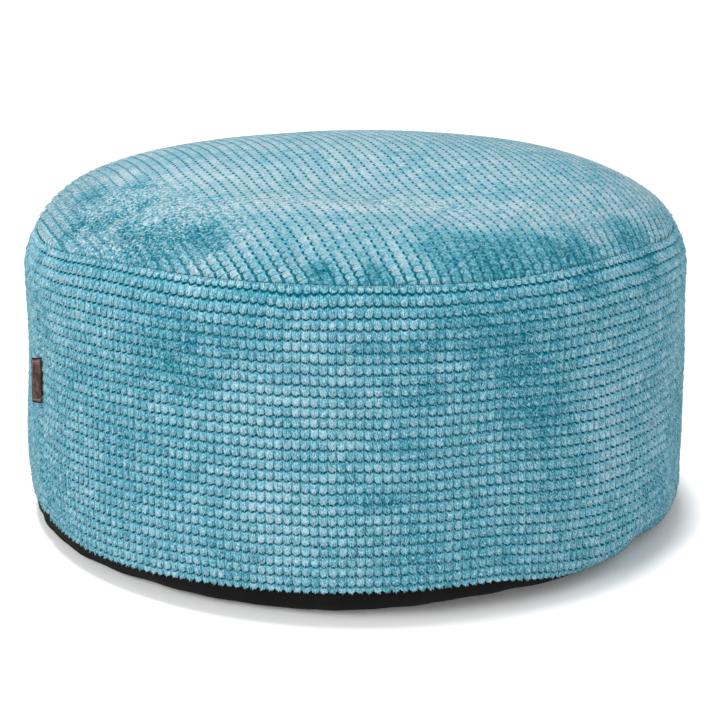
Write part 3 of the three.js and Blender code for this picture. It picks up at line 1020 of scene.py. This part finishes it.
def base_panel():
    """Rings from the floor edge up to the seam. Each stands on side_radius, less an inset that grows upward,
    puckers by sines of the angle, deepest halfway up, and the turn under at the floor."""
    angle = np.arange(BASE_COLUMNS) * 360 / BASE_COLUMNS
    share = np.linspace(0, 1, BASE_RINGS + 1)[:, None]
    height = (read_round(BASE_SEAM, "height", angle) - PIECE_GAP) * share
    t = np.radians(angle)
    pucker = 0.9 * np.sin(23 * t + 2 * np.sin(5 * t)) + 0.7 * np.sin(47 * t + 3 * np.sin(4 * t))
    turn_under = TURN_UNDER * np.clip(1 - share / (0.26 + 0.05 * pucker), 0, None) ** 2
    inset = BASE_INSET + SEAM_INSET * share + PUCKER_DEPTH * pucker * np.sin(np.pi * share) + turn_under
    sides = polar(angle, side_radius(angle, height) - inset, height)
    centres = [(0, 0, 0), (0, 0, BASE_CENTRE_HEIGHT - PIECE_GAP)]
    points = np.concatenate([sides.reshape(-1, 3), centres])
    triangles = closed_rings(BASE_RINGS + 1, BASE_COLUMNS)[0]
    piece = new_piece("base_panel_cloth", points, triangles, cloth_material())
    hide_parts("base_panel")


base_panel()

# Label: a short strip of brown hide folded in half, its raw ends caught in the closing seam. It lies back
# along the band, its rim is darker from handling, and a plain line of stitches runs inside the rim.

LABEL_LOW = 145
LABEL_HIGH = 191
LABEL_REACH = 17
LABEL_DROOP = 4
LABEL_THICKNESS = 1.8
LABEL_SLIT = 0.2
LABEL_CURL = 0.5
LABEL_STAND = 3.9
LABEL_BEND = 4.5
LABEL_COLUMNS = 23
LABEL_ROWS = 25
HIDE_BROWN = (0.044, 0.026, 0.021)
HIDE_DARK = (0.022, 0.009, 0.006)
HIDE_RUBBED = (0.095, 0.068, 0.060)
THREAD_PALE = (0.150, 0.112, 0.104)
THREAD_INSET = 3.4
THREAD_HALF = 0.7
THREAD_PITCH = 3.6


def hide_material():
    """Smooth hide: fine grain, rubbed lighter in places, darker at its rim. Its UV map goes 0 to 1 from
    the seam to the fold and from the lower edge to the upper one."""
    material, tree, shader = new_material("label_hide", roughness=0.6, shine=0.0)
    place = tree.nodes.new("ShaderNodeTexCoord").outputs["Object"]
    grain = linked(tree, "ShaderNodeTexVoronoi", Vector=place, Scale=900.0)
    rub = noise(tree, place, scale=160.0, detail=4.0)
    u, v = cloth_map(tree)[1:]
    tall = float(LABEL_HIGH - LABEL_LOW)
    up = calc(tree, "MULTIPLY", v, tall)
    from_end = calc(tree, "MINIMUM", up, calc(tree, "SUBTRACT", tall, up))
    back = calc(tree, "MULTIPLY", u, float(LABEL_REACH))
    from_fold = calc(tree, "SUBTRACT", float(LABEL_REACH), back)
    rim = calc(tree, "MINIMUM", from_end, from_fold)
    colour = blended(tree, faded(tree, rub, 0.4, 0.7), HIDE_BROWN, HIDE_RUBBED)
    colour = blended(tree, faded(tree, rim, 0.6, 1.9, 1.0, 0.0), colour, HIDE_DARK)
    from_line = calc(tree, "ABSOLUTE", calc(tree, "SUBTRACT", rim, THREAD_INSET))
    on_line = faded(tree, from_line, THREAD_HALF * 0.7, THREAD_HALF * 1.3, 1.0, 0.0)
    place_on_line = calc(tree, "FRACT", calc(tree, "DIVIDE", calc(tree, "ADD", up, back), THREAD_PITCH))
    on_stitch = faded(tree, place_on_line, 0.66, 0.76, 1.0, 0.0)
    colour = blended(tree, calc(tree, "MULTIPLY", on_line, on_stitch), colour, THREAD_PALE)
    finish_surface(tree, shader, colour, strength=0.5, depth=0.0003, height=grain.outputs["Distance"])
    return material


def label_point(back, rise, side):
    """A place on the tab: back is the way from the seam in millimetres, rise goes 0 to 1 from the lower
    edge up, and side is the offset through its thickness. Its middle line bends out of the seam and lies
    back along the band, and droops evenly towards the free edge."""
    out = LABEL_STAND * (1 - np.exp(-(back + 1.2) / LABEL_BEND)) - 0.9 + 0.02 * back
    height = LABEL_LOW + (LABEL_HIGH - LABEL_LOW) * rise - LABEL_DROOP * back / LABEL_REACH
    radius = side_radius(CLOSING_SEAM_ANGLE, height) + out + side
    angle = CLOSING_SEAM_ANGLE - np.degrees(back / WAIST_RADIUS)
    return polar(angle, radius, height)


def label():
    """The strip's outer face out from the seam, round the fold and back, and its inner face the same way,
    carried up the label's height, with a strip between the two faces at each end and at the raw ends."""
    back = np.linspace(-1, LABEL_REACH, LABEL_COLUMNS)
    turn = np.radians(np.linspace(90, -90, 9))[1:-1]
    rise = np.linspace(0, 1, LABEL_ROWS)[:, None]
    edge = np.clip(np.minimum(rise, 1 - rise) * 40, 0.5, 1)
    curl = LABEL_CURL * np.sin(np.pi * rise)
    faces = []
    for half in (LABEL_THICKNESS / 2, LABEL_SLIT / 2):
        loop_back = np.concatenate([back, LABEL_REACH + half * np.cos(turn), back[::-1]])
        flat = np.full(LABEL_COLUMNS, half)
        loop_side = np.concatenate([flat, half * np.sin(turn), -flat])
        bent = loop_side * edge + curl * np.clip(loop_back / LABEL_REACH, 0, 1) ** 2
        faces.append((loop_back, label_point(loop_back + 0 * rise, rise, bent)))
    outer, inner = faces[0][1], faces[1][1]
    loop = np.concatenate([outer, inner[:, ::-1]], axis=1)
    rings, count = loop.shape[:2]
    joined, unrolled = ring_triangles(rings, count)
    walls = np.arange(count // 2 - 1)
    ends = []
    for start in (0, (rings - 1) * count):
        a, b = start + walls, start + walls + 1
        c, d = start + count - 1 - walls, start + count - 2 - walls
        end = np.concatenate([np.stack([a, c, d], -1), np.stack([a, d, b], -1)])
        ends.append(end if start == 0 else end[:, ::-1])
    triangles = np.concatenate([joined, *ends])
    reach = np.concatenate([faces[0][0], faces[1][0][::-1]])
    uv_point = np.stack([np.clip(reach / LABEL_REACH, 0, 1) + 0 * rise, rise + 0 * reach], axis=-1)
    uv = uv_point.reshape(-1, 2)[triangles].reshape(-1, 2)
    piece = new_piece("label_tab", loop.reshape(-1, 3), triangles, hide_material(), uv)
    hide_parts("label")


label()

# Room: a plain white floor that goes far back, a distant light high up and a little behind, two wide soft
# lights in front, and a white sky. Its sizes are metres.

FLOOR_HALF = 15.0
FLOOR_DROP = 0.0005
FLOOR_WHITE = (0.93, 0.93, 0.93)
SKY_STRENGTH = 0.58
MIDDLE = Vector((0, 0, 0.2))


def floor():
    """One flat square under the pouf."""
    mesh = bpy.data.meshes.new("floor")
    signs = ((-1, -1), (1, -1), (1, 1), (-1, 1))
    corners = [(x * FLOOR_HALF, y * FLOOR_HALF, -FLOOR_DROP) for x, y in signs]
    mesh.from_pydata(corners, [], [(0, 1, 2, 3)])
    material, _, shader = new_material("floor_white", roughness=0.7, shine=0.1)
    shader.inputs["Base Color"].default_value = (*FLOOR_WHITE, 1)
    mesh.materials.append(material)
    piece = bpy.data.objects.new("floor", mesh)
    bpy.context.scene.collection.objects.link(piece)


def new_light(name, kind, energy, place, way):
    """A light of that kind at a place, shining that way."""
    light = bpy.data.lights.new(name, kind)
    light.energy = energy
    lamp = bpy.data.objects.new(name, light)
    lamp.location = place
    lamp.rotation_euler = way.to_track_quat("-Z", "Y").to_euler()
    bpy.context.scene.collection.objects.link(lamp)
    return light


def fill_light(name, place, size, power):
    """A wide square light in front, facing the pouf's middle."""
    light = new_light(name, "AREA", power, place, MIDDLE - Vector(place))
    light.shape = "SQUARE"
    light.size = size


def high_light(compass, elevation, width, strength):
    """A distant light from that side and height, as wide in the sky as width, all in degrees."""
    t, e = np.radians(compass), np.radians(elevation)
    way = Vector((-np.cos(t) * np.cos(e), -np.sin(t) * np.cos(e), -np.sin(e)))
    light = new_light("high", "SUN", strength, (0, 0, 0), way)
    light.angle = np.radians(width)


def sky():
    """An even white sky."""
    world = bpy.data.worlds.new("sky")
    world.use_nodes = True
    background = world.node_tree.nodes["Background"]
    background.inputs["Color"].default_value = (1, 1, 1, 1)
    background.inputs["Strength"].default_value = SKY_STRENGTH
    bpy.context.scene.world = world


CAMERA_PLACE = (0.0055, -1.661, 0.642)
CAMERA_PITCH = 16.73
CAMERA_LENS = 80.7


def camera():
    """The photograph's view: from the front, a little above, looking down by CAMERA_PITCH."""
    lens = bpy.data.cameras.new("camera")
    lens.lens = CAMERA_LENS
    lens.sensor_width = 36
    lens.sensor_fit = "HORIZONTAL"
    lens.clip_end = 100
    view = bpy.data.objects.new("camera", lens)
    view.location = CAMERA_PLACE
    view.rotation_euler = (np.radians(90 - CAMERA_PITCH), 0, 0)
    bpy.context.scene.collection.objects.link(view)
    bpy.context.scene.camera = view


floor()
sky()
high_light(compass=128, elevation=83.5, width=9, strength=2.4)
fill_light("left fill", place=(-2.7, -2.0, 1.75), size=2.2, power=116)
fill_light("right fill", place=(1.9, -2.6, 0.45), size=1.6, power=55)
camera()
bpy.context.scene.view_settings.view_transform = "Standard"
